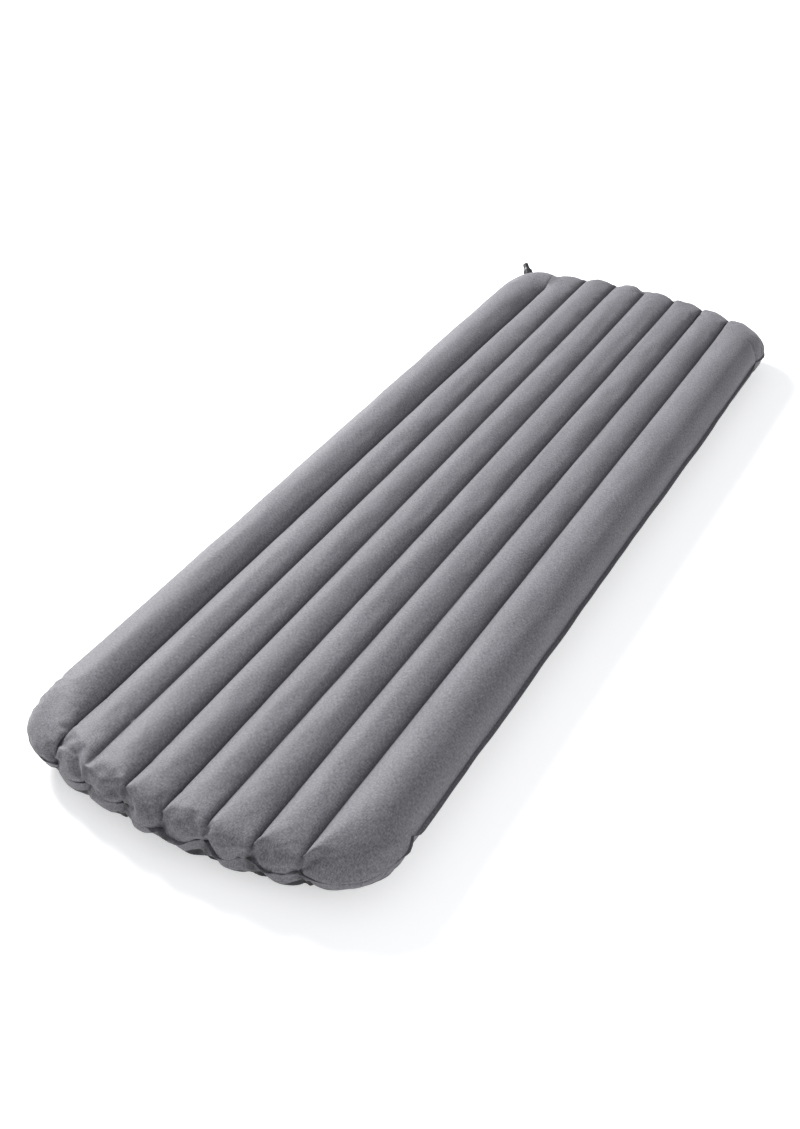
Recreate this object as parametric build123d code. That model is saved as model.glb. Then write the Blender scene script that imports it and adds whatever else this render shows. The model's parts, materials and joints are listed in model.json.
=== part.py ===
from build123d import *
from math import cos, hypot, radians, sin, sqrt
import os

# Inflatable sleeping pad, blown up and lying flat. X is the width, Y the length, +Z is up.
# The origin is on the floor under the middle of the pad. All sizes are in millimetres.

# Air tubes: six inner tubes of one pitch, and a fatter tube along each long edge.
tube_pitch = 70.0
inner_tube_count = 6
baffle_height = 56.0
outer_tube_radius = 52.5

# Plan of the welded seam, with gently bowed ends and rounded corners.
seam_half_length = 906.5
end_bow_radius = 950.0
corner_radius = 125.0
weld_width = 8.0

# Fabric and how the closed ends are rounded over.
fabric_thickness = 0.6
end_round_radius = 53.0
end_round_lift = 0.5
side_clearance = 2.0
floor_flattening = 0.5

# Baffles: a web between the panels, with a weld strip along its top and bottom edges.
baffle_thickness = 0.5
baffle_strip_width = 8.0
baffle_gap = 0.03
middle_baffle_half_length = 883.0
baffle_shortening = 2.576

# Twist valve, standing out of the back left corner at a slope.
valve_slope = 30.0
boot_radius = 20.0
boot_thickness = 0.8
neck_radius = 8.0
barrel_radius = 6.5
barrel_bore_radius = 5.2
barrel_top = 18.0
nozzle_foot = 4.8
nozzle_top = 34.0
grip_radius = 9.5
grip_top = 16.0
mouth_radius = 6.5
mouth_foot = 23.0
sealing_bore_radius = 4.2
plug_seal_height = 24.5
ring_height = 9.3
sliding_gap = 0.04

# Worked out from the sizes above.
groove_reach = inner_tube_count / 2 * tube_pitch
inner_tube_radius = hypot(tube_pitch / 2, baffle_height / 2)
outer_tube_place = groove_reach + sqrt(outer_tube_radius**2 - (baffle_height / 2) ** 2)
seam_half_width = outer_tube_place + outer_tube_radius
mid_height = outer_tube_radius - floor_flattening
end_bow_place = seam_half_length - end_bow_radius


def pad_plan(grow, widen=0.0):
    """The seam's outline, moved outwards by grow, and at the sides by widen too, at z = 0."""
    half_width = seam_half_width + widen + grow
    plan = Rectangle(2 * half_width, 4 * seam_half_length)
    for side in (1, -1):
        plan &= Pos(0, side * end_bow_place, 0) * Circle(end_bow_radius + grow)
    return fillet(plan.vertices(), corner_radius + grow)


def tubes(inset):
    """The eight air tubes as one long corrugated bar, lying along Y about z = 0."""
    section = Sketch()
    for number in range(inner_tube_count):
        place = (number - (inner_tube_count - 1) / 2) * tube_pitch
        section += Pos(place, 0) * Circle(inner_tube_radius - inset)
    for side in (1, -1):
        section += Pos(side * outer_tube_place, 0) * Circle(outer_tube_radius - inset)
    return extrude(Plane.XZ * section, seam_half_length + 50, both=True)


def half_envelope(inset):
    """The upper half of the inflated shape, with its ends rounded over, above z = 0."""
    height = end_round_radius + end_round_lift - inset
    pillow = extrude(pad_plan(-inset, side_clearance), height)
    pillow = fillet(pillow.edges().group_by(Axis.Z)[-1], end_round_radius - inset)
    return pillow & tubes(inset)


def weld_rim():
    """One panel's flat margin outside the seam, lying on z = 0."""
    return extrude(pad_plan(weld_width), fabric_thickness)


def floor_cut(height):
    """A block that takes away all that is lower than height, with the seam at z = 0."""
    depth = 2 * end_round_radius
    block = Box(3 * seam_half_width, 3 * seam_half_length, depth)
    return Pos(0, 0, height - mid_height - depth / 2) * block


def top_panel():
    """The upper fabric, with the hole that the valve's neck comes through."""
    shell = half_envelope(0) + weld_rim() - half_envelope(fabric_thickness)
    hole = valve_place() * Cylinder(neck_radius + sliding_gap, 20)
    return Pos(0, 0, mid_height) * shell - hole


def bottom_panel():
    """The lower fabric. The two outer tubes rest on the floor on narrow flat strips."""
    outside = mirror(half_envelope(0), Plane.XY) - floor_cut(0)
    inside = mirror(half_envelope(fabric_thickness), Plane.XY) - floor_cut(fabric_thickness)
    shell = outside + mirror(weld_rim(), Plane.XY) - inside
    return Pos(0, 0, mid_height) * shell


def baffle(number):
    """A baffle in groove number, counted from the middle one. Its strips face the middle."""
    side = -1 if number > 0 else 1
    strip_radius = inner_tube_radius - fabric_thickness - baffle_gap
    centre = side * tube_pitch / 2
    band = Circle(strip_radius) - Circle(strip_radius - baffle_thickness)
    band = Pos(centre, 0) * band
    window = Rectangle(baffle_strip_width, 2 * inner_tube_radius)
    band &= Pos(side * baffle_strip_width / 2, 0) * window
    web_height = 2 * sqrt((strip_radius - baffle_thickness / 2) ** 2 - centre**2)
    section = band + Rectangle(baffle_thickness, web_height)
    half_length = middle_baffle_half_length - baffle_shortening * number**2
    strip = extrude(Plane.XZ * section, half_length, both=True)
    return Pos(number * tube_pitch, 0, mid_height) * strip


def corner_centre():
    """The centre of the rounding at the back left corner of the plan."""
    x = seam_half_width + side_clearance - corner_radius
    y = end_bow_place + sqrt((end_bow_radius - corner_radius) ** 2 - x**2)
    return Vector(-x, y, mid_height + end_round_lift)


def valve_place():
    """The valve's place: its origin on the corner's dome, its Z square to the dome."""
    flat, rise = cos(radians(valve_slope)), sin(radians(valve_slope))
    axis = Vector(-flat / sqrt(2), flat / sqrt(2), rise)
    ring = (corner_radius - end_round_radius) / sqrt(2)
    origin = corner_centre() + Vector(-ring, ring, 0) + axis * end_round_radius
    return Plane(origin=origin, x_dir=(1, 1, 0), z_dir=axis)


def turned(points):
    """A solid of revolution about Z, from its radius and height points."""
    return revolve(Plane.XZ * make_face(Polyline(*points, close=True)), Axis.Z)


def valve_boot():
    """The soft disc welded to the panel's inside, with a neck that grips the barrel."""
    ring = corner_radius - end_round_radius
    outer = end_round_radius - fabric_thickness - sliding_gap
    dome = Torus(ring, outer) - Torus(ring, outer - boot_thickness)
    disc = Pos(*corner_centre()) * dome & valve_place() * Cylinder(boot_radius, 30)
    neck = valve_place() * Pos(0, 0, -0.5) * Cylinder(neck_radius, 7)
    bore = valve_place() * Cylinder(barrel_radius + sliding_gap, 30)
    return disc + neck - bore


def valve_barrel():
    """The fixed tube, with a collar outside the fabric and a barb inside it."""
    return turned(
        [
            (barrel_bore_radius, -10),
            (barrel_radius - 0.8, -10),
            (barrel_radius + 1.1, -4.6),
            (barrel_radius, -4.6),
            (barrel_radius, 3.1),
            (barrel_radius + 2.5, 3.1),
            (barrel_radius + 2.5, 4.3),
            (barrel_radius, 4.3),
            (barrel_radius, barrel_top - 0.5),
            (barrel_radius - 0.5, barrel_top),
            (barrel_bore_radius, barrel_top),
        ]
    )


def plug_stem():
    """The post that holds the plug in the nozzle's mouth, on a three-armed hub."""
    hub = Cylinder(barrel_bore_radius - sliding_gap, 7) - Cylinder(barrel_bore_radius - 0.9, 7)
    arm = Pos(barrel_bore_radius / 2 - 0.2, 0, 0) * Box(barrel_bore_radius - 0.5, 1.2, 7)
    stem = Pos(0, 0, 11.5) * hub
    for turn in range(3):
        stem += Pos(0, 0, 11.5) * Rot(0, 0, 120 * turn) * arm
    stem += Pos(0, 0, 8) * Cylinder(1.6, 14.5, align=(Align.CENTER, Align.CENTER, Align.MIN))
    stem += Pos(0, 0, 22) * Cylinder(1.0, 4, align=(Align.CENTER, Align.CENTER, Align.MIN))
    return stem


def sealing_plug():
    """The plug on the stem's end, with a groove round it for the plug's seal."""
    return turned(
        [
            (1.0 + sliding_gap, 22.6),
            (3.3, 22.6),
            (3.7, 23.0),
            (3.7, plug_seal_height - 0.8),
            (2.68, plug_seal_height - 0.8),
            (2.68, plug_seal_height + 0.8),
            (3.7, plug_seal_height + 0.8),
            (3.7, 26.2),
            (2.4, 27.4),
            (0, 27.8),
            (0, 26.1),
            (1.0 + sliding_gap, 26.1),
        ]
    )


def plug_seal():
    """The rubber ring round the plug. It closes the nozzle's bore when twisted shut."""
    return Pos(0, 0, plug_seal_height) * Torus(3.42, 0.72)


def nozzle_ring():
    """The rubber ring that rides in the nozzle and rubs on the barrel."""
    return Pos(0, 0, ring_height) * Torus(barrel_radius + sliding_gap + 0.64, 0.64)


def valve_nozzle():
    """The twist mouthpiece, with twelve grip ribs and a smooth tip for a pump."""
    slide_radius = barrel_radius + 2 * sliding_gap
    body = turned(
        [
            (slide_radius, nozzle_foot),
            (grip_radius - 0.6, nozzle_foot),
            (grip_radius, nozzle_foot + 0.6),
            (grip_radius, grip_top),
            (grip_radius - 1.0, grip_top + 1.0),
            (mouth_radius, mouth_foot),
            (mouth_radius, nozzle_top - 0.6),
            (mouth_radius - 0.6, nozzle_top),
            (sealing_bore_radius + 0.4, nozzle_top),
            (sealing_bore_radius, nozzle_top - 0.4),
            (sealing_bore_radius, 21.5),
            (slide_radius, 18.6),
            (slide_radius, ring_height + 0.8),
            (barrel_radius + 1.4, ring_height + 0.8),
            (barrel_radius + 1.4, ring_height - 0.8),
            (slide_radius, ring_height - 0.8),
        ]
    )
    rib_length = grip_top - nozzle_foot - 1.6
    rib = Pos(grip_radius, 0, (grip_top + nozzle_foot) / 2) * Cylinder(0.8, rib_length)
    for turn in range(12):
        body += Rot(0, 0, 30 * turn) * rib
    return body


def write(name, shape):
    """Writes one named piece to its own file."""
    export_step(shape, f"parts/{name}.step")
    box = shape.bounding_box()
    print(name, "volume", round(shape.volume), "box", box.min, box.max)


os.makedirs("parts", exist_ok=True)
write("top_panel", top_panel())
write("bottom_panel", bottom_panel())
half_count = inner_tube_count // 2
for number in range(-half_count, half_count + 1):
    write(f"baffle_{number + half_count + 1}", baffle(number))
write("valve_boot", valve_boot())
write("valve_barrel", valve_place() * valve_barrel())
write("plug_stem", valve_place() * plug_stem())
write("sealing_plug", valve_place() * sealing_plug())
write("plug_seal", valve_place() * plug_seal())
write("nozzle_ring", valve_place() * nozzle_ring())
write("valve_nozzle", valve_place() * valve_nozzle())
print("valve origin", valve_place().origin, "axis", valve_place().z_dir)
print("seam half width", seam_half_width, "outer tube at", outer_tube_place)
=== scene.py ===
import json
import math

import bpy
import numpy as np
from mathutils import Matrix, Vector


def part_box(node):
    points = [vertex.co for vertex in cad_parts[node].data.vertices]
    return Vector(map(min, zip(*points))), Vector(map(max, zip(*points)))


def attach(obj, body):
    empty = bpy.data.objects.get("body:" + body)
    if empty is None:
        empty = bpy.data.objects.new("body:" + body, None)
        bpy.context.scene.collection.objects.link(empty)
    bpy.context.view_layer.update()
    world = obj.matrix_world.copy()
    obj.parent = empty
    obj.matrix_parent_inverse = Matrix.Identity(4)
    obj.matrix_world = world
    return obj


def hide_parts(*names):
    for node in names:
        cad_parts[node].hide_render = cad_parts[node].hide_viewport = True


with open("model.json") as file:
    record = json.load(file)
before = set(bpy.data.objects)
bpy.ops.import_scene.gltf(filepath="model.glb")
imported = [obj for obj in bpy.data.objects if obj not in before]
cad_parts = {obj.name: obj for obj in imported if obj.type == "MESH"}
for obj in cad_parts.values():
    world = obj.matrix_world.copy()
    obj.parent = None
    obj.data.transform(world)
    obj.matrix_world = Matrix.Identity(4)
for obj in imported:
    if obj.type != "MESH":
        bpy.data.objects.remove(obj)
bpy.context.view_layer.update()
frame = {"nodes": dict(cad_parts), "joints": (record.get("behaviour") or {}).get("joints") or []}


# ---- Flat cut of the two panels ------------------------------------------------------------
# The pad is two panels of coated polyester, cut flat to one pattern and welded round the edge.
# The grid of points below follows the threads: columns run along the air tubes, and rows
# across them, closer together at the ends, where the fabric gathers.
tube_pitch = 0.070
baffle_height = 0.056
outer_tube_radius = 0.0525
inner_tubes = 6
half_baffle = baffle_height / 2
inner_tube_radius = math.hypot(tube_pitch / 2, half_baffle)
groove_reach = inner_tubes / 2 * tube_pitch
outer_tube_place = groove_reach + math.sqrt(outer_tube_radius**2 - half_baffle**2)
outer_reach = outer_tube_place + outer_tube_radius - groove_reach
mid_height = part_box("top_panel")[0].z

# Lengths of fabric, measured round the tubes.
inner_turn = math.atan2(tube_pitch / 2, half_baffle)
inner_cut = 2 * inner_tube_radius * inner_turn
outer_turn = math.pi - math.asin(half_baffle / outer_tube_radius)
outer_cut = outer_tube_radius * outer_turn

inner_columns, outer_columns = 10, 16
end_row, middle_row = 0.005, 0.038
end_stretch = 0.160
baffle_margin = 0.040
cut_half_length, puff_half_length = 0.921, 0.9105
cut_bow, puff_bow = 1.260, 0.950
corner_radius = 0.120

margin_rows = round(baffle_margin / end_row)
end_rows = round(end_stretch / end_row)
middle_rows = round(2 * (cut_half_length - end_stretch) / middle_row)
from_seam = [baffle_margin * i / margin_rows for i in range(margin_rows)] + [
    baffle_margin + (end_stretch - baffle_margin) * i / (end_rows - margin_rows)
    for i in range(end_rows - margin_rows + 1)
]


def corner_patch(left, right, bottom, top, u, v):
    """A point inside four curves that meet at their ends, at the shares u across and v up."""
    across = (1 - u) * left(v) + u * right(v)
    up = (1 - v) * bottom(u) + v * top(u)
    low = (1 - u) * left(0) + u * right(0)
    high = (1 - u) * left(1) + u * right(1)
    return across + up - (1 - v) * low - v * high


def panel_grid(pitch, inner_shares, outer, outer_shares, corner, half_length, bow, rows):
    """Plan of a panel as columns of points, from the left side to the right one.
    pitch and outer are the widths of an inner and an outer tube, and rows the distances
    of the end rows from the end seam."""
    weld = inner_tubes / 2 * pitch
    side = weld + outer
    bow_centre = half_length - bow
    corner_x = side - corner
    corner_y = math.sqrt((bow - corner) ** 2 - corner_x**2) + bow_centre
    meeting = math.atan2(corner_y - bow_centre, corner_x)
    meeting_x = corner_x + corner * math.cos(meeting)

    def end_at(x):
        return math.sqrt(bow**2 - x**2) + bow_centre

    def on_corner(angle):
        x = corner_x + corner * math.cos(angle)
        return np.array([x, corner_y + corner * math.sin(angle)])

    def end_seam(share):
        first, straight = meeting, 0.0
        if meeting_x > weld:
            straight = bow * (math.asin(meeting_x / bow) - math.asin(weld / bow))
        else:
            first = math.acos((weld - corner_x) / corner)
        along = share * (straight + corner * (first - meeting / 2))
        if along >= straight:
            return on_corner(first - (along - straight) / corner)
        angle = math.asin(weld / bow) + along / bow
        return np.array([bow * math.sin(angle), bow_centre + bow * math.cos(angle)])

    weld_end = end_seam(0)[1]
    base = weld_end - rows[-1]

    def side_seam(share):
        along = share * (corner_y - base + corner * meeting / 2)
        if along < corner_y - base:
            return np.array([side, base + along])
        return on_corner((along - corner_y + base) / corner)

    def weld_line(share):
        return np.array([weld, base + share * (weld_end - base)])

    def base_line(share):
        return np.array([weld + share * outer, base])

    def column(top_points):
        x, y = top_points[-1]
        middle = [np.array([x, y - 2 * y * i / middle_rows]) for i in range(1, middle_rows)]
        return [*top_points, *middle, *(p * (1, -1) for p in reversed(top_points))]

    def corner_point(u, v):
        return corner_patch(weld_line, side_seam, base_line, end_seam, u, v)

    corner_block = [column([corner_point(u, 1 - d / rows[-1]) for d in rows]) for u in outer_shares]
    edge = [column([weld_line(1 - d / rows[-1]) for d in rows])]
    places = [(k + s) * pitch - weld for k in range(inner_tubes) for s in inner_shares][1:]
    inner = [column([np.array([x, end_at(x) - d]) for d in rows]) for x in places]
    right = np.array(edge + corner_block)
    return np.concatenate([right[::-1] * (-1, 1), inner, right])


def cut_run(distance):
    """Level distance for a length of fabric that first climbs from the seam to a baffle."""
    climb = math.sqrt(baffle_margin**2 - half_baffle**2)
    if distance < baffle_margin:
        return distance * climb / baffle_margin
    return distance - baffle_margin + climb


def puff_run(distance):
    """Level distance for a length of fabric that goes round a tube's closed end."""
    quarter = inner_tube_radius * math.pi / 2
    if distance > quarter:
        return distance - quarter + inner_tube_radius
    return inner_tube_radius * (1 - math.cos(distance / inner_tube_radius))


inner_shares = [i / inner_columns for i in range(inner_columns)]
inner_angles = [(2 * s - 1) * inner_turn for s in inner_shares]
outer_shares = [i / outer_columns for i in range(1, outer_columns + 1)]
outer_angles = [outer_turn * (1 - s) for s in outer_shares]
outer_places = [outer_tube_place + outer_tube_radius * math.cos(a) for a in outer_angles]
cut = panel_grid(
    inner_cut,
    inner_shares,
    math.sqrt(outer_cut**2 - half_baffle**2),
    outer_shares,
    corner_radius,
    cut_half_length,
    cut_bow,
    [cut_run(d) for d in from_seam],
)
puff = panel_grid(
    tube_pitch,
    [0.5 + inner_tube_radius * math.sin(a) / tube_pitch for a in inner_angles],
    outer_reach,
    [(x - groove_reach) / outer_reach for x in outer_places],
    corner_radius,
    puff_half_length,
    puff_bow,
    [puff_run(d) for d in from_seam],
)
columns, rows = cut.shape[:2]

# Heights above the seam: the cut panel held up at the baffles, and the tubes blown up round.
rise = [s * half_baffle for s in [0.0, *outer_shares[:-1]]]
cut_heights = np.array([*rise, *[half_baffle] * (inner_tubes * inner_columns + 1), *reversed(rise)])
swell = [outer_tube_radius * math.sin(outer_turn * s) for s in [0.0, *outer_shares[:-1]]]
tube = [inner_tube_radius * math.cos(a) for a in inner_angles]
puff_heights = np.array([*swell, *tube * inner_tubes, half_baffle, *reversed(swell)])
seam_distance = np.array([*from_seam, *[1.0] * (middle_rows - 1), *reversed(from_seam)])
cut_closing = np.minimum(seam_distance / baffle_margin, 1)
puff_closing = np.sin(np.minimum(seam_distance / inner_tube_radius, math.pi / 2))

# The end seams start out scalloped, drawn in at every groove, so that the fabric gathers there.
scallop_depth, scallop_fade = 0.014, 0.035
near_a_groove = np.abs(puff[:, :, 0]) < groove_reach + tube_pitch / 2
drawn_in = scallop_depth * np.cos(np.pi * puff[:, :, 0] / tube_pitch) ** 2
drawn_in *= near_a_groove * np.exp(-seam_distance / scallop_fade)
puff[:, :, 1] -= np.sign(puff[:, :, 1]) * drawn_in


# ---- Blowing the pad up --------------------------------------------------------------------
# Both panels and the baffles between them are blown up as one cloth. It starts from round
# tubes, and its threads pull back to the lengths they were cut to, which gathers the ends.
air_pressure, air_damping = 4.0, 1.5
settling_frames = 30
cutting_frame = 4
steps_per_frame = 5
thread_stiffness, fold_stiffness = 15.0, 0.004
point_mass = 0.0005
start_unevenness = 0.0002

points = np.arange(columns * rows).reshape(columns, rows)
seam = np.ones((columns, rows), bool)
seam[1:-1, 1:-1] = False
upper, lower = points, points.copy()
lower[~seam] = columns * rows + np.arange((~seam).sum())
weld_columns = [outer_columns + k * inner_columns for k in range(inner_tubes + 1)]


def both_panels(plan, heights, closing, unevenness=0.0):
    """Points of the upper panel and then the lower one, which share the points of the seam."""
    height = np.where(seam, 0, heights[:, None] * closing)
    chance = np.random.default_rng(7).normal(0, 1, (2, columns, rows)) * unevenness
    top = np.dstack([plan, height + chance[0] * ~seam])
    bottom = np.dstack([plan, -height + chance[1]])
    return np.concatenate([top.reshape(-1, 3), bottom[~seam]])


def panel_faces(ids):
    """The grid's faces, pointing up."""
    corners = [ids[:-1, 1:], ids[1:, 1:], ids[1:, :-1], ids[:-1, :-1]]
    return np.stack(corners, -1).reshape(-1, 4)


def blown_up(start, rest, faces, links):
    """The points of the cloth after it has settled from start to its rest lengths under pressure."""
    mesh = bpy.data.meshes.new("blank")
    mesh.from_pydata(start.tolist(), links, faces.tolist())
    blank = bpy.data.objects.new("blank", mesh)
    bpy.context.scene.collection.objects.link(blank)
    bpy.context.view_layer.objects.active = blank
    blank.shape_key_add(name="round")
    key = blank.shape_key_add(name="cut")
    key.data.foreach_set("co", rest.ravel())
    key.value = 0
    key.keyframe_insert("value", frame=1)
    key.value = 1
    key.keyframe_insert("value", frame=cutting_frame)
    cloth = blank.modifiers.new("Cloth", "CLOTH")
    cloth.point_cache.frame_end = settling_frames
    cloth.collision_settings.use_collision = False
    how = cloth.settings
    how.use_dynamic_mesh = True
    how.quality = steps_per_frame
    how.mass = point_mass
    how.air_damping = air_damping
    how.tension_stiffness = how.compression_stiffness = thread_stiffness
    how.shear_stiffness = thread_stiffness / 3
    how.bending_stiffness = fold_stiffness
    how.tension_damping = how.compression_damping = how.shear_damping = 1
    how.use_pressure = True
    how.uniform_pressure_force = air_pressure
    how.effector_weights.gravity = 0
    for number in range(1, settling_frames + 1):
        bpy.context.scene.frame_set(number)
    settled = blank.evaluated_get(bpy.context.evaluated_depsgraph_get())
    places = np.empty(start.size)
    settled.data.vertices.foreach_get("co", places)
    action = mesh.shape_keys.animation_data.action
    bpy.data.objects.remove(blank)
    bpy.data.meshes.remove(mesh)
    bpy.data.actions.remove(action)
    bpy.context.scene.frame_set(1)
    return places.reshape(-1, 3)


start = both_panels(puff, puff_heights, puff_closing, start_unevenness)
rest = both_panels(cut, cut_heights, cut_closing)
faces = np.concatenate([panel_faces(upper), panel_faces(lower)[:, ::-1]])
baffle_links = [(int(upper[j, i]), int(lower[j, i])) for j in weld_columns for i in range(1, rows - 1)]
blown = blown_up(start, rest, faces, baffle_links)
blown[:, 2] += mid_height


# ---- Top and bottom panels -----------------------------------------------------------------
# Each panel is one sheet of polyester with an airtight inner coat. The two are welded face to
# face round the edge, outside the air tubes, which leaves a flat rim all round.
fabric = 0.0005
floor_clearance = 0.0003
rim_width = 0.008
rim_bands = 2
weld_sharpness = 0.9
smooth_angle = 75
outer_side, both_sides = 1, 0

around = [(j, 0) for j in range(columns - 1)] + [(columns - 1, i) for i in range(rows - 1)]
around = np.array(around + [(columns - 1 - j, rows - 1 - i) for j, i in around])
inner_side = np.clip(around, 1, [columns - 2, rows - 2])
seam_ring = points[tuple(around.T)]
cut_seam = cut[tuple(around.T)]


def unit(vectors):
    """The vectors at a length of 1."""
    return vectors / np.linalg.norm(vectors, axis=-1, keepdims=True)


def evened(values, reach):
    """Values round the seam, each averaged with its neighbours on both sides."""
    return sum(np.roll(values, step, 0) for step in range(-reach, reach + 1)) / (2 * reach + 1)


# The seam's weld is stiffer than the fabric, so it goes evenly round the corners.
turn_reach = 0.110
turn_fade = turn_reach / 1.5
turn_evenings, fabric_evenings = 24, 40
grid_corners = cut[[0, 0, -1, -1], [0, -1, 0, -1]]
to_turn = np.linalg.norm(cut_seam[:, None] - grid_corners, axis=-1).min(1)
stiff = np.clip((turn_reach - to_turn) / turn_fade, 0, 1)[:, None]
uneven = blown[seam_ring]
even = uneven
for _ in range(turn_evenings):
    even = evened(even, 1)
shift = np.zeros_like(blown)
shift[seam_ring] = stiff * (even - uneven)
for _ in range(fabric_evenings):
    for ids in (upper, lower):
        near = shift[ids]
        across, along = near[:-2, 1:-1] + near[2:, 1:-1], near[1:-1, :-2] + near[1:-1, 2:]
        shift[ids[1:-1, 1:-1]] = (across + along) / 4
blown += shift

# Nothing dips into the floor, and the rim points away from the fabric above and below it.
blown[:, 2] = np.maximum(blown[:, 2], fabric + floor_clearance)
seam_points = blown[seam_ring]
from_above = unit(seam_points - blown[upper[tuple(inner_side.T)]])
from_below = unit(seam_points - blown[lower[tuple(inner_side.T)]])
outward = unit(evened(unit(from_above + from_below), 4))
cut_outward = unit(evened(unit(cut_seam - cut[tuple(inner_side.T)]), 2))

# How far each point lies from the nearest tube weld and from the edge seam, along the fabric.
inner_distances = [min(s, 1 - s) * inner_cut for s in inner_shares] * inner_tubes + [0.0]
outer_distances = [s * outer_cut for s in outer_shares]
from_weld = np.array([*reversed(outer_distances), *inner_distances, *outer_distances])
to_seam = cut.reshape(-1, 1, 2) - cut_seam
from_edge = np.sqrt((to_seam**2).sum(-1).min(-1))


def panel(name, ids, faces_up):
    """A panel's surface with its rim, and its flat cut as the UV map."""
    grid = blown[ids].reshape(-1, 3)
    flat = cut.reshape(-1, 2)
    weld = np.repeat(from_weld, rows)
    edge = from_edge
    ring = seam_ring
    quads = [panel_faces(points)]
    for band in range(1, rim_bands + 1):
        out = rim_width * band / rim_bands
        new_ring = len(grid) + np.arange(len(around))
        grid = np.concatenate([grid, seam_points + out * outward])
        flat = np.concatenate([flat, cut_seam + out * cut_outward])
        weld = np.concatenate([weld, from_weld[around[:, 0]]])
        edge = np.concatenate([edge, np.full(len(around), -out)])
        quads.append(np.stack([ring, np.roll(ring, -1), np.roll(new_ring, -1), new_ring], -1))
        ring = new_ring
    quads = np.concatenate(quads)
    if not faces_up:
        quads = quads[:, ::-1]
    mesh = bpy.data.meshes.new(name)
    mesh.from_pydata(grid.tolist(), [], quads.tolist())
    layer = mesh.uv_layers.new(name="flat_cut")
    corners = np.empty(len(mesh.loops), np.int32)
    mesh.loops.foreach_get("vertex_index", corners)
    layer.data.foreach_set("uv", flat[corners].ravel())
    mesh.attributes.new("from_weld", "FLOAT", "POINT").data.foreach_set("value", weld)
    mesh.attributes.new("from_edge", "FLOAT", "POINT").data.foreach_set("value", edge)

    # The tube welds and the edge seam stay sharp lines when the rest is smoothed.
    ends = np.empty(2 * len(mesh.edges), np.int32)
    mesh.edges.foreach_get("vertices", ends)
    first, second = ends.reshape(-1, 2).T
    on_grid = np.maximum(first, second) < columns * rows
    along_weld = on_grid & (first // rows == second // rows) & np.isin(first // rows, weld_columns)
    border = np.zeros(len(grid), bool)
    border[seam_ring] = True
    along_seam = border[first] & border[second]
    sharp = np.where(along_seam, 1.0, np.where(along_weld, weld_sharpness, 0.0))
    mesh.attributes.new("crease_edge", "FLOAT", "EDGE").data.foreach_set("value", sharp)
    piece = bpy.data.objects.new(name, mesh)
    bpy.context.scene.collection.objects.link(piece)
    return piece


def cloth_finish(piece, thickness, side):
    """Smooths a surface and gives it its thickness, on both sides or on the one it faces."""
    bpy.ops.object.select_all(action="DESELECT")
    bpy.context.view_layer.objects.active = piece
    piece.select_set(True)
    smoother = piece.modifiers.new("smoother", "SUBSURF")
    smoother.levels = smoother.render_levels = 1
    bpy.ops.object.modifier_apply(modifier=smoother.name)
    wall = piece.modifiers.new("wall", "SOLIDIFY")
    wall.thickness = thickness
    wall.offset = side
    bpy.ops.object.modifier_apply(modifier=wall.name)
    bpy.ops.object.shade_smooth_by_angle(angle=math.radians(smooth_angle))


# The corner by the valve is held to the boot's dome, because the boot is stiffer than the fabric.
twist = next(j for j in frame["joints"] if j["name"] == "valve_twist")
valve_foot, valve_axis = np.array(twist["pos_m"]), np.array(twist["axis"])
dome_ring_radius = 0.072
dome_outer_radius, dome_radius = 0.053, 0.05245
held_radius, loose_radius = 0.022, 0.080
neck_hole_radius, neck_hole_depth = 0.00804, 0.03
level_axis = unit(valve_axis * (1, 1, 0))
dome_centre = valve_foot - valve_axis * dome_outer_radius - level_axis * dome_ring_radius

at = blown[upper]
ring_way = unit((at - dome_centre) * (1, 1, 0))
ring_points = dome_centre + ring_way * dome_ring_radius
on_dome = ring_points + unit(at - ring_points) * dome_radius
from_foot = at - valve_foot
off_axis = np.linalg.norm(from_foot - (from_foot @ valve_axis)[..., None] * valve_axis, axis=-1)
hold = np.clip((loose_radius - off_axis) / (loose_radius - held_radius), 0, 1)
hold = (hold**2 * (3 - 2 * hold))[..., None] * ~seam[..., None]
blown[upper] = at + hold * (on_dome - at)

top = panel("top_panel_fabric", upper, True)
bottom = panel("bottom_panel_fabric", lower, False)
quads = np.empty(2 * len(top.data.loops))
top.data.uv_layers["flat_cut"].data.foreach_get("uv", quads)
quads = quads.reshape(-1, 4, 2)
first_diagonal, second_diagonal = quads[:, 2] - quads[:, 0], quads[:, 3] - quads[:, 1]
flat_area = 0.5 * float(np.abs(np.cross(first_diagonal, second_diagonal)).sum())
for piece, node, finish_slot in (
    (top, "top_panel", "top_fabric"),
    (bottom, "bottom_panel", "bottom_fabric"),
):
    cloth_finish(piece, fabric, outer_side)
    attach(piece, "pad")
    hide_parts(node)

bpy.ops.object.select_all(action="DESELECT")
bpy.ops.mesh.primitive_cylinder_add(
    vertices=64,
    radius=neck_hole_radius,
    depth=neck_hole_depth,
    location=valve_foot,
    rotation=Vector(valve_axis).to_track_quat("Z", "Y").to_euler(),
)
punch = bpy.context.object
hole = top.modifiers.new("hole", "BOOLEAN")
hole.operation = "DIFFERENCE"
hole.solver = "EXACT"
hole.object = punch
bpy.ops.object.select_all(action="DESELECT")
bpy.context.view_layer.objects.active = top
bpy.ops.object.modifier_apply(modifier=hole.name)
bpy.data.objects.remove(punch)


class Wire:
    """A socket of a finish's nodes, on which sums are written as they are on numbers."""

    def __init__(self, finish, socket):
        self.finish, self.socket = finish, socket

    def sum(self, operation, *values):
        inputs = dict(enumerate(values))
        return self.finish.node("ShaderNodeMath", {"operation": operation}, inputs)

    def __add__(self, other):
        return self.sum("ADD", self, other)

    def __sub__(self, other):
        return self.sum("SUBTRACT", self, other)

    def __rsub__(self, other):
        return self.sum("SUBTRACT", other, self)

    def __mul__(self, other):
        return self.sum("MULTIPLY", self, other)

    __radd__, __rmul__ = __add__, __mul__


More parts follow.
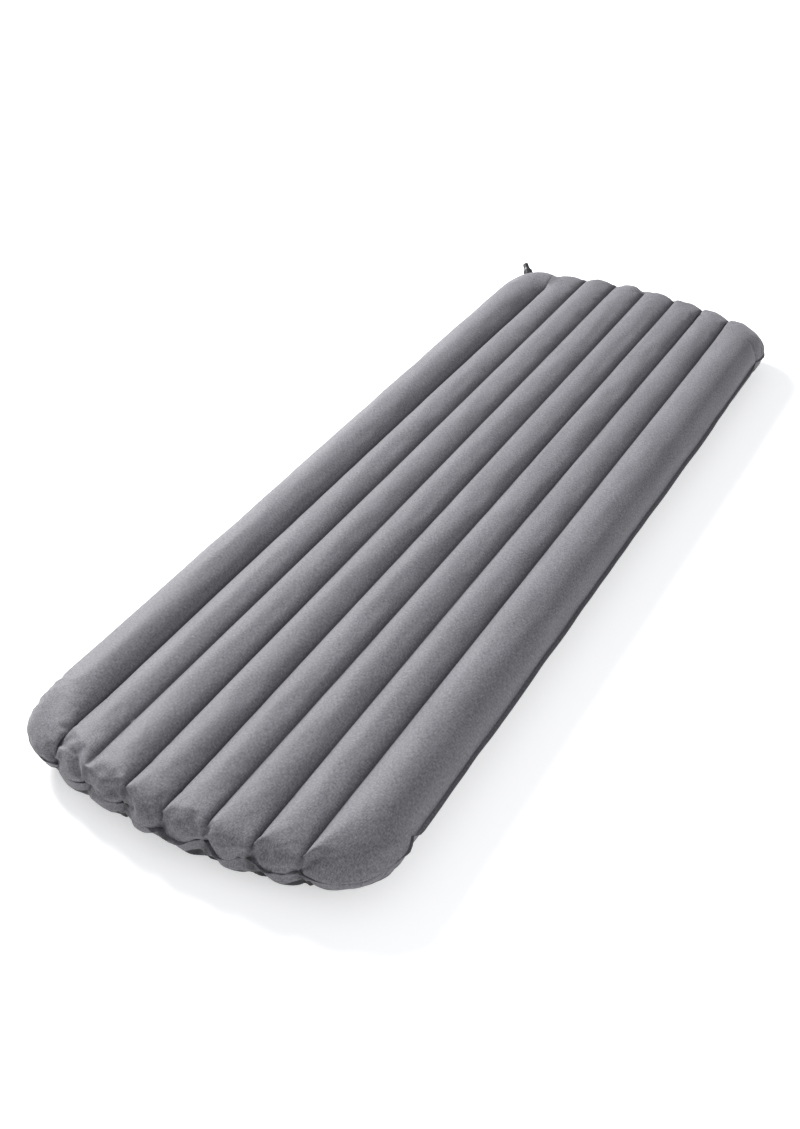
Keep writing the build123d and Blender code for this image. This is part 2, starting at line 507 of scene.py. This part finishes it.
class Finish:
    """A node material. The constants are the values of its shader's sockets."""

    def __init__(self, name, constants):
        self.material = bpy.data.materials.new(name)
        self.material.use_nodes = True
        self.tree = self.material.node_tree
        self.shader = self.tree.nodes["Principled BSDF"]
        for socket, value in constants.items():
            self.shader.inputs[socket].default_value = value

    def node(self, kind, settings, inputs):
        """Adds a node and returns its first output that is in use."""
        node = self.tree.nodes.new(kind)
        for setting, value in settings.items():
            setattr(node, setting, value)
        in_use = [socket for socket in node.inputs if socket.enabled]
        for key, value in inputs.items():
            socket = in_use[key] if isinstance(key, int) else next(s for s in in_use if s.name == key)
            if isinstance(value, Wire):
                self.tree.links.new(value.socket, socket)
            else:
                socket.default_value = value
        return Wire(self, next(socket for socket in node.outputs if socket.enabled))

    def attribute(self, name):
        """A number that is stored on the mesh's points."""
        color = self.node("ShaderNodeAttribute", {"attribute_name": name}, {})
        return Wire(self, color.socket.node.outputs["Fac"])

    def object_place(self):
        """The place on the piece, in metres from the pad's origin."""
        coordinates = self.node("ShaderNodeTexCoord", {}, {})
        return Wire(self, coordinates.socket.node.outputs["Object"])

    def share(self, value, low, high):
        """0 at low, 1 at high, and smooth between them."""
        settings = {"interpolation_type": "SMOOTHSTEP"}
        return self.node("ShaderNodeMapRange", settings, {"Value": value, 1: low, 2: high})

    def noise(self, place, scale, stretch=(1, 1, 1), **inputs):
        """Noise of about 0 to 1, with scale grains to the metre, shortened or drawn out by stretch."""
        mapped = self.node("ShaderNodeMapping", {}, {"Vector": place, "Scale": stretch})
        return self.node("ShaderNodeTexNoise", {}, {"Vector": mapped, "Scale": scale, **inputs})

    def mix(self, factor, a, b):
        settings = {"data_type": "RGBA"}
        return self.node("ShaderNodeMix", settings, {"Factor": factor, "A": a, "B": b})

    def feed(self, socket, wire):
        self.tree.links.new(wire.socket, self.shader.inputs[socket])

    def bump(self, height, distance, strength=1.0, normal=None):
        inputs = {"Height": height, "Distance": distance, "Strength": strength}
        if normal:
            inputs["Normal"] = normal
        return self.node("ShaderNodeBump", {}, inputs)


# Both panels are woven from a melange yarn, lighter and darker threads together, with a matte
# face. The upper one is grey and the lower one nearly black, with a grey margin. Shades are a
# dark thread's and a light thread's.
grey = (0.085, 0.083, 0.091), (0.235, 0.230, 0.248)
charcoal = (0.014, 0.014, 0.016), (0.040, 0.040, 0.044)
edge_band, band_blur = 0.018, 0.0003
yarns, yarn_thinness = 900, 0.16
specks, blotches, puckers_across = 420, 14, 34
# Strengths of the painted shade along the tube welds and along the edge rim.
weld_painted_shade, rim_painted_shade = 0.42, 0.22


def woven_finish(name, dark, light, roughness, sheen, band=None):
    """Melange cloth. Its pattern follows the threads, by the flat cut. A band is the dark and
    light shades of another cloth that covers the panel's margin, edge_band wide."""
    finish = Finish(name, {"Sheen Weight": sheen, "Sheen Roughness": 0.45, "Specular IOR Level": 0.25})
    place = finish.node("ShaderNodeUVMap", {"uv_map": "flat_cut"}, {})
    warp = finish.noise(place, yarns, (1, yarn_thinness, 1), Detail=1.0)
    weft = finish.noise(place, yarns, (yarn_thinness, 1, 1), Detail=1.0)
    speck = finish.noise(place, specks, (1, 0.7, 1), Detail=2.0, Roughness=0.7)
    blotch = finish.noise(place, blotches, (1, 0.6, 1), Detail=3.0)
    tone = finish.share(warp * 0.35 + weft * 0.35 + speck * 0.45 + blotch * 0.12, 0.44, 0.86)
    threads = finish.mix(tone, (*dark, 1), (*light, 1))
    edge = finish.attribute("from_edge")
    if band:
        margin = finish.mix(tone, (*band[0], 1), (*band[1], 1))
        beyond_band = finish.share(edge, edge_band - band_blur, edge_band + band_blur)
        threads = finish.mix(beyond_band, margin, threads)
    # Painted shade: the cloth's colour is darkened along each tube weld and along the edge rim, where
    # the grooves and the seam lie in shade. The cloth is also made a little less rough there.
    weld = finish.attribute("from_weld")
    welded = 1 - finish.share(weld, 0.002, 0.010)
    rim = 1 - finish.share(edge, -0.0005, 0.0015)
    painted_weld_and_rim_shade = welded * weld_painted_shade + rim * rim_painted_shade
    threads_with_painted_shade = finish.mix(painted_weld_and_rim_shade, threads, tuple(0.45 * c for c in dark) + (1,))
    finish.feed("Base Color", threads_with_painted_shade)
    finish.feed("Roughness", roughness + (tone - 0.5) * 0.12 - painted_weld_and_rim_shade * 0.2)

    # The threads cross over and under. Near a weld the cloth draws up into short cross puckers.
    weave = warp.sum("MAXIMUM", warp, weft)
    drawn = finish.noise(place, puckers_across, (0.22, 1, 1), Detail=1.5, Roughness=0.4)
    near_weld = 1 - finish.share(weld, 0.004, 0.030)
    puckers = finish.bump(drawn * near_weld, 0.004, 0.8)
    finish.feed("Normal", finish.bump(weave * 0.6 + speck * 0.4, 0.00035, 0.6, puckers))
    return finish.material


top.data.materials.append(woven_finish("grey_melange_cloth", *grey, 0.62, 0.06))
bottom.data.materials.append(woven_finish("charcoal_cloth", *charcoal, 0.66, 0.04, band=grey))


# ---- Baffles -------------------------------------------------------------------------------
# Seven webs of thin coated cloth stand between the panels, welded along both edges by a strip
# turned towards the middle of the pad. They hold the pad flat and make its air tubes.
baffle_cloth = 0.0004
baffle_inset = 0.0018
strip_width = 0.007
first_baffle_row = margin_rows + 2
web_share = (0.0, 0.25, 0.5, 0.75, 1.0)
pale_cloth = (0.36, 0.36, 0.37, 1), (0.60, 0.60, 0.61, 1)

baffle_finish = Finish("coated_baffle_cloth", {"Specular IOR Level": 0.4, "Sheen Weight": 0.05})
place = baffle_finish.object_place()
grain = baffle_finish.noise(place, 700, (1, 0.3, 1), Detail=2.0)
cloudy = baffle_finish.noise(place, 20, Detail=3.0)
tone = grain * 0.7 + cloudy * 0.3
baffle_finish.feed("Base Color", baffle_finish.mix(tone, *pale_cloth))
baffle_finish.feed("Roughness", 0.45 + grain * 0.15)
baffle_finish.feed("Normal", baffle_finish.bump(grain, 0.0002, 0.5))

for number, column in enumerate(weld_columns, 1):
    middle = number - 1 - inner_tubes // 2
    toward = -1 if middle > 0 else 1
    kept = slice(first_baffle_row, rows - first_baffle_row)
    top_line, bottom_line = blown[upper[column, kept]], blown[lower[column, kept]]
    top_next, bottom_next = blown[upper[column + toward, kept]], blown[lower[column + toward, kept]]
    top_way, bottom_way = unit(top_next - top_line), unit(bottom_next - bottom_line)
    down = np.array([0, 0, baffle_inset])
    lines = [top_line - down * 2 + top_way * strip_width]
    lines += [top_line - down + (bottom_line - top_line + down * 2) * s for s in web_share]
    lines += [bottom_line + down * 2 + bottom_way * strip_width]
    web = np.stack(lines)
    ids = np.arange(web.shape[0] * web.shape[1]).reshape(web.shape[:2])
    mesh = bpy.data.meshes.new(f"baffle_cloth_{number}")
    mesh.from_pydata(web.reshape(-1, 3).tolist(), [], panel_faces(ids).tolist())
    piece = bpy.data.objects.new(f"baffle_cloth_{number}", mesh)
    bpy.context.scene.collection.objects.link(piece)
    mesh.materials.append(baffle_finish.material)
    cloth_finish(piece, baffle_cloth, both_sides)
    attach(piece, "pad")
    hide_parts(f"baffle_{number}")
    length = float(np.linalg.norm(np.diff(top_line, axis=0), axis=1).sum())


# ---- Valve ---------------------------------------------------------------------------------
# A twist valve stands out of one corner. Its barrel, stem, plug and nozzle are moulded plastic,
# the boot that grips the barrel is welded to the panel inside, and two rubber rings seal it.
def moulded_finish(name, shade, roughness, grain_depth):
    """Moulded plastic or rubber with a fine spark-eroded grain and faint handling marks."""
    finish = Finish(name, {"Specular IOR Level": 0.5})
    place = finish.object_place()
    grain = finish.noise(place, 2600, Detail=2.0, Roughness=0.6)
    marks = finish.noise(place, 160, Detail=4.0, Roughness=0.7)
    lighter = tuple(1.9 * c + 0.01 for c in shade)
    worn = finish.share(marks, 0.45, 0.75) * 0.6
    finish.feed("Base Color", finish.mix(worn, (*shade, 1), (*lighter, 1)))
    finish.feed("Roughness", roughness + (grain - 0.5) * 0.18 - finish.share(marks, 0.5, 0.8) * 0.08)
    finish.feed("Normal", finish.bump(grain, grain_depth, 0.6))
    return finish.material


nozzle_plastic = moulded_finish("nozzle_plastic", (0.010, 0.010, 0.012), 0.42, 0.00005)
valve_plastic = moulded_finish("valve_plastic", (0.040, 0.040, 0.044), 0.46, 0.00005)
boot_rubber = moulded_finish("boot_rubber", (0.034, 0.034, 0.038), 0.60, 0.00008)
seal_rubber = moulded_finish("seal_rubber", (0.012, 0.012, 0.012), 0.55, 0.00004)
for node, material in (
    ("valve_nozzle", nozzle_plastic),
    ("valve_barrel", valve_plastic),
    ("plug_stem", valve_plastic),
    ("sealing_plug", valve_plastic),
    ("valve_boot", boot_rubber),
    ("plug_seal", seal_rubber),
    ("nozzle_ring", seal_rubber),
):
    frame["nodes"][node].data.materials.clear()
    frame["nodes"][node].data.materials.append(material)


# ---- Floor, light and camera ---------------------------------------------------------------
# The pad lies on a plain white floor, in soft light that comes from its left side and from
# behind it, so that the near ends of the tubes are in shade.
bpy.ops.object.select_all(action="DESELECT")
bpy.ops.mesh.primitive_plane_add(size=40)
floor = bpy.context.object
floor.name = "floor"
floor_look = {"Base Color": (0.86, 0.86, 0.86, 1), "Roughness": 0.9}
floor_look |= {"Emission Color": (1, 1, 1, 1), "Emission Strength": 0.5}
floor_paint = Finish("white_floor", floor_look)
floor.data.materials.append(floor_paint.material)

# The room's light is soft and even, and its wall looks as white as the floor.
world = bpy.data.worlds.new("studio")
world.use_nodes = True
room = world.node_tree
light_of_room = room.nodes["Background"]
light_of_room.inputs["Color"].default_value = (0.93, 0.95, 1.0, 1)
light_of_room.inputs["Strength"].default_value = 0.46
wall = room.nodes.new("ShaderNodeBackground")
wall.inputs["Color"].default_value = (1, 1, 1, 1)
ray = room.nodes.new("ShaderNodeLightPath")
either = room.nodes.new("ShaderNodeMixShader")
room.links.new(ray.outputs["Is Camera Ray"], either.inputs["Fac"])
room.links.new(light_of_room.outputs[0], either.inputs[1])
room.links.new(wall.outputs[0], either.inputs[2])
room.links.new(either.outputs[0], room.nodes["World Output"].inputs["Surface"])
bpy.context.scene.world = world


def soft_box(name, place, size, power):
    """A square lamp that shines on the middle of the pad."""
    light = bpy.data.lights.new(name, "AREA")
    light.size = size
    light.energy = power
    holder = bpy.data.objects.new(name, light)
    holder.location = place
    holder.rotation_euler = (-Vector(place)).to_track_quat("-Z", "Y").to_euler()
    bpy.context.scene.collection.objects.link(holder)


soft_box("left_box", place=(-3.2, 1.0, 2.4), size=1.2, power=340)
soft_box("right_fill", place=(2.6, -1.2, 1.6), size=2.5, power=24)

look_down, look_left = 37.535, 29.452
camera = bpy.data.objects.new("camera", bpy.data.cameras.new("camera"))
camera.data.lens = 43.04
camera.data.sensor_width = 36
camera.location = (0.8903, -1.8152, 1.4542)
camera.rotation_euler = (math.radians(90 - look_down), 0, math.radians(look_left))
bpy.context.scene.collection.objects.link(camera)
bpy.context.scene.camera = camera
bpy.context.scene.view_settings.view_transform = "Standard"
